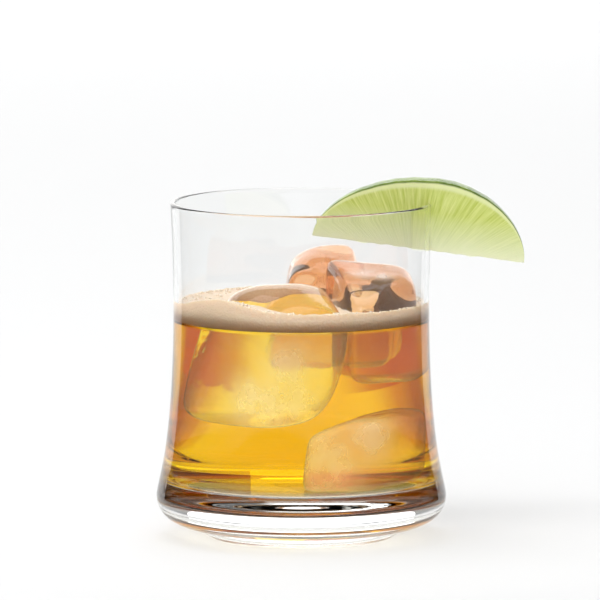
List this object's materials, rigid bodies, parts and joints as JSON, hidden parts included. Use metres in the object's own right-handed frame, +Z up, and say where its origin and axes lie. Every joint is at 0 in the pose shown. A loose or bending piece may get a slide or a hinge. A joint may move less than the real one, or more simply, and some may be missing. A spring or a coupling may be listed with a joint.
{
  "type": "cognac and ginger ale in a tumbler",
  "caption": "Amber mixed drink with a thin froth and melting ice chunks in a clear flared tumbler with a heavy rounded base, a lime wedge slit onto its rim.",
  "frame": {"origin": "middle of the flat foot that the glass rests on", "axes": "+Z up along the glass's axis, +X towards the side of the rim that carries the lime wedge, -Y towards the viewer of the picture"},
  "size_m": [0.1095, 0.0864, 0.1077],
  "materials": {
    "clear_glass": "polished",
    "amber_drink": "clear liquid",
    "froth": "matte foam",
    "ice": "wet",
    "lime": "wet fruit"
  },
  "bodies": {
    "root": {"glass": "clear_glass", "drink": "amber_drink", "froth": "froth", "ice_front": "ice", "ice_right": "ice", "ice_back": "ice", "lime_wedge": "lime"}
  },
  "joints": []
}
